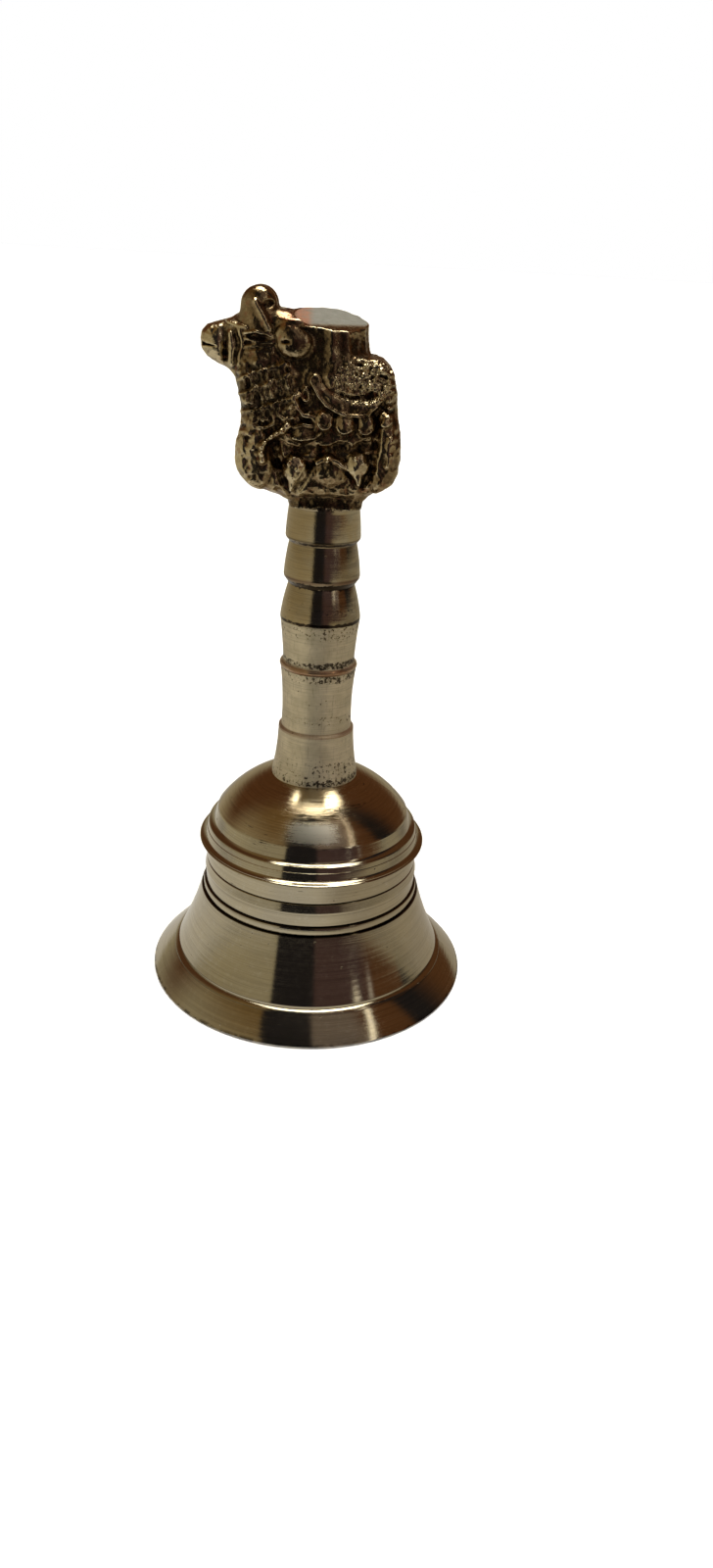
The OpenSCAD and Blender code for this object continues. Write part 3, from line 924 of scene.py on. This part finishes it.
def bull_shadow(m, colour, grain, mottled):
    """Darkens the neck, the hollow under the stub, and the rough ring below the plinth."""
    under_stub = m.times(m.oval(-1.0, foot_z + 27.5, 8.0, 4.5), 0.45)
    shaded = m.larger(m.oval(-12.0, foot_z + 20.5, 6.5, 5.5), under_stub)
    colour = m.stain(colour, (0.055, 0.044, 0.030), shaded, m.span(mottled, 0.1, 0.35, 0.6, 0.1))
    rough_ring = m.span(m.z, foot_z + 0.2, foot_z + 2.2, 0.85, 0.0)
    return m.stain(colour, residue, rough_ring, m.span(grain, 0.38, 0.55))


def cast_brass():
    """The bull's cast skin: dark in the recesses, rubbed bright on the ridges, ground flat on the stub."""
    m = Metal("cast_brass_bull")
    near = m.add("Attribute", {}, attribute_name="relief_near").outputs["Fac"]
    far = m.add("Attribute", {}, attribute_name="relief_far").outputs["Fac"]
    grain = m.noise(m.place, 3.2, 4.0, 0.65)
    blotch = m.noise(m.place, 0.5, 3.0, 0.6)
    scratch = m.noise(m.join(m.times(m.x, 0.4), m.times(m.y, 4.0), 0.0), 1.5, 4.0, 0.7)
    height = m.line(near, 2.2, far)
    mottled = m.line(m.minus(grain, 0.5), 0.7, height)
    mottled = m.line(m.minus(blotch, 0.5), 0.9, mottled)
    cloth = m.oval(6.0, foot_z + 22.6, 6.0, 4.4)
    up = m.split(m.add("NewGeometry", {}).outputs["True Normal"])[2]
    on_stub = m.times(m.span(m.z, foot_z + 31.5, foot_z + 32.2), m.span(m.radius, 6.4, 6.9, 1.0, 0.0))
    ground = m.times(on_stub, m.span(up, 0.85, 0.93))
    colour = bull_tones(m, height, mottled, cloth)
    colour = bull_ground(m, colour, blotch, scratch, ground, up)
    colour = bull_shadow(m, colour, grain, mottled)
    roughness = m.line(ground, 0.35, m.span(mottled, -0.4, 0.2, 0.40, 0.13))
    m.put(m.shader.inputs["Metallic"], m.line(ground, -0.3, 1.0))
    skin = m.line(scratch, 0.1, m.times(grain, m.span(ground, 0.0, 1.0, 1.0, 0.15)))
    collar = m.times(m.oval(-11.0, foot_z + 19.0, 6.0, 6.5), 0.5)
    worked = m.span(m.larger(cloth, collar), 0.0, 1.0, 0.12, 1.0)
    beads = m.add("TexVoronoi", {"Vector": m.place, "Scale": 1.7}).outputs["Distance"]
    stipple = m.times(m.span(beads, 0.0, 0.7, 1.0, 0.0), worked)
    return m.finish(colour, roughness, [(skin, 0.022), (blotch, 0.08), (stipple, 0.16)])


def clapper_brass():
    """Dull brass, knocked and darkened, for the clapper."""
    m = Metal("dull_brass_clapper")
    patches = m.noise(m.place, 0.35, 4.0, 0.6)
    knocks = m.pits(1.8, 0.5, 2.0)
    lines = m.turning(0.0, 4.0, 7)
    colour = m.mix(m.span(patches, 0.3, 0.7), (0.30, 0.22, 0.11), (0.52, 0.41, 0.24))
    colour = m.stain(colour, (0.62, 0.52, 0.32), knocks, 0.5)
    roughness = m.span(patches, 0.3, 0.7, 0.5, 0.3)
    return m.finish(colour, roughness, [(patches, 0.08), (lines, 0.02), (m.times(knocks, -1.0), 0.08)])


def steel(name, rust_from, rust_to):
    """Zinc-bright steel with rust starting in patches."""
    m = Metal(name)
    patches = m.noise(m.place, 0.7, 4.0, 0.65)
    scratches = m.noise(m.place, 5.0, 3.0, 0.6)
    colour = m.mix(m.span(scratches, 0.3, 0.7), (0.42, 0.41, 0.38), (0.60, 0.59, 0.56))
    colour = m.mix(m.span(patches, rust_from, rust_to), colour, (0.16, 0.07, 0.03))
    roughness = m.span(patches, rust_from - 0.1, rust_to, 0.28, 0.65)
    return m.finish(colour, roughness, [(scratches, 0.02), (patches, 0.05)])


def dress_frame():
    """Gives each CAD node that stays its own material."""
    looks = {
        "bell_cup": cup_brass(),
        "crown_washer": steel("washer_steel", 0.5, 0.62),
        "crown_nut": steel("nut_steel", 0.54, 0.66),
        "hanger_link": steel("link_wire_steel", 0.5, 0.64),
        "clapper_rod": clapper_brass(),
    }
    looks["clapper_bob"] = looks["clapper_rod"]
    for name, material in looks.items():
        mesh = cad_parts[name].data
        for index in range(len(mesh.materials)):
            mesh.materials[index] = material


# -------- the studio
# The room that the polished brass mirrors. Angles are degrees: round from the front, -Y, and up from level.

khaki = (0.41, 0.36, 0.25)
gold = (0.22, 0.14, 0.055)
brown = (0.125, 0.056, 0.024)
red_brown = (0.085, 0.052, 0.052)
grey_brown = (0.20, 0.16, 0.14)
black = (0.020, 0.018, 0.020)
low_wall = (0.42, 0.37, 0.27)
window_light = (1.9, 1.8, 1.6)
slit_light = (0.9, 0.85, 0.8)
lamp_light = (7.5, 7.3, 6.4)
backdrop = (1.0, 1.0, 1.0)


def room_walls(n, around, up):
    """Khaki and gold on the left, black in front, then red-brown, grey-brown, black and brown."""
    left = n.mix(n.span(up, 20.0, 55.0), khaki, gold)
    left = n.mix(n.span(up, 3.0, -4.0), left, (0.53, 0.48, 0.36))
    left = n.mix(n.times(n.span(around, -88.0, -125.0), n.span(up, 0.0, 22.0)), left, brown)
    middle = n.mix(n.span(up, 20.0, 34.0), red_brown, grey_brown)
    middle = n.mix(n.span(around, 44.0, 62.0), middle, brown)
    right = n.mix(n.span(around, 98.0, 125.0), black, brown)
    colour = n.mix(n.span(around, 82.0, 88.0), middle, right)
    low_edge = n.line(n.math("MINIMUM", around, 95.0), -0.1, n.plus(up, 9.0))
    low = n.times(n.span(around, 22.0, 34.0), n.span(low_edge, 1.5, -1.5))
    colour = n.mix(low, colour, low_wall)
    colour = n.mix(n.span(around, 5.5, 8.0, 1.0, 0.0), colour, black)
    narrowing = n.line(n.larger(n.minus(up, 35.0), 0.0), 0.8, around)
    colour = n.mix(n.span(narrowing, -29.5, -27.5, 1.0, 0.0), colour, left)
    behind = n.span(n.absolute(around), 140.0, 165.0)
    return n.mix(n.times(behind, n.span(up, 14.0, -2.0)), colour, khaki)


def room_lights(n, colour, direction, around, up):
    """A tall window that leans with height, a narrow slit beside it, and a lamp overhead."""
    leaning = n.line(n.times(up, up), -0.0088, n.minus(around, 40.0))
    pane = n.times(n.band(leaning, -1.5, 3.5, 1.6), n.band(up, 13.0, 72.0, 5.0))
    colour = n.mix(pane, colour, window_light)
    slit = n.times(n.band(around, 53.5, 56.5, 1.0), n.band(up, 6.0, 20.0, 3.0))
    colour = n.mix(n.times(slit, 0.6), colour, slit_light)
    toward_lamp = {0: direction, 1: (0.04, 0.22, 0.974)}
    closeness = n.add("VectorMath", toward_lamp, operation="DOT_PRODUCT").outputs["Value"]
    lamp_edge = (math.cos(math.radians(19)), math.cos(math.radians(15)))
    return n.mix(n.span(closeness, *lamp_edge), colour, lamp_light)


def make_world():
    """What the polished brass mirrors, by compass direction, and a plain pale backdrop for the camera."""
    world = bpy.data.worlds.new("studio")
    bpy.context.scene.world = world
    world.use_nodes = True
    n = Nodes(world.node_tree)
    direction = n.coordinates("Generated")
    x, y, z = n.split(direction)
    around = n.times(n.turn(x, y), 180 / math.pi)
    up = n.times(n.math("ARCSINE", z), 180 / math.pi)
    colour = room_lights(n, room_walls(n, around, up), direction, around, up)
    camera_ray = n.add("LightPath", {}).outputs["Is Camera Ray"]
    background = n.add("Background", {"Color": n.mix(camera_ray, colour, backdrop), "Strength": 1.0})
    n.add("OutputWorld", {"Surface": background.outputs[0]})


def disc(name, radius, height, segments):
    """A flat round sheet."""
    work = bmesh.new()
    bmesh.ops.create_circle(work, cap_ends=True, segments=segments, radius=radius)
    mesh = bpy.data.meshes.new(name)
    work.to_mesh(mesh)
    work.free()
    piece = new_object(name, mesh)
    piece.location.z = height
    return piece


def pale_surface(name, shade):
    """Matt pale paper with a faint mottle."""
    material = bpy.data.materials.new(name)
    material.use_nodes = True
    n = Nodes(material.node_tree)
    mottle = n.noise(n.coordinates("Object"), 9.0, 3.0)
    colour = n.mix(mottle, (shade, shade, shade), (shade * 0.98, shade * 0.98, shade * 0.975))
    shader = n.add("BsdfPrincipled", {"Base Color": colour, "Roughness": 0.9, "Specular IOR Level": 0.0})
    n.add("OutputMaterial", {"Surface": shader.outputs[0]})
    return material


def table_glow(material):
    """The table glows all round, less on the right and further off, and hardly past its front edge."""
    n = Nodes(material.node_tree, clear=False)
    x, y, _ = n.split(n.coordinates("Object"))
    distance = n.length(x, y)
    in_front = n.span(n.absolute(n.turn(x, y)), 0.62, 0.48)
    past_edge = n.times(in_front, n.span(distance, 0.115, 0.135))
    right = n.span(x, 0.0, 0.05)
    level = n.times(n.span(distance, 0.12, 0.2, 0.66, 0.38), n.span(right, 0.0, 1.0, 1.0, 0.66))
    shader = next(node for node in n.tree.nodes if node.type == "BSDF_PRINCIPLED")
    n.put(shader.inputs["Emission Color"], n.mix(right, (1.0, 0.95, 0.85), (1.0, 0.88, 0.70)))
    n.put(shader.inputs["Emission Strength"], n.times(level, n.span(past_edge, 0.0, 1.0, 1.0, 0.05)))


def add_light(name, kind, place, energy, colour, **settings):
    """A light that points at the bell."""
    light = bpy.data.lights.new(name, kind)
    light.energy = energy
    light.color = colour
    for key, value in settings.items():
        setattr(light, key, value)
    lamp = bpy.data.objects.new(name, light)
    lamp.location = place
    lamp.rotation_euler = (-Vector(place)).to_track_quat("-Z", "Y").to_euler()
    bpy.context.scene.collection.objects.link(lamp)
    return lamp


def make_studio():
    """A pale floor to the horizon, the near table that the brass mirrors, and the soft lights."""
    floor = disc("floor", 40.0, 0.0, 128)
    floor.data.materials.append(pale_surface("floor_paper", 0.86))
    floor.visible_glossy = False
    table = disc("table_reflection", 0.26, -0.0005, 96)
    table.data.materials.append(pale_surface("table_paper", 0.04))
    table_glow(table.data.materials[0])
    table.visible_camera = False
    table.visible_diffuse = False
    floor_light = add_light("floor_light", "SUN", (0.1, -0.25, 1.0), 3.0, (1, 1, 1), angle=math.radians(50))
    floor_light.visible_glossy = False
    area = {"shape": "RECTANGLE", "size": 0.3, "size_y": 0.2}
    add_light("softbox", "AREA", (0.03, 0.2, 1.0), 0.8, (1.0, 0.98, 0.93), **area)


make_camera()
make_world()
make_studio()
dress_frame()
make_handle()
bpy.context.scene.view_settings.view_transform = "Standard"
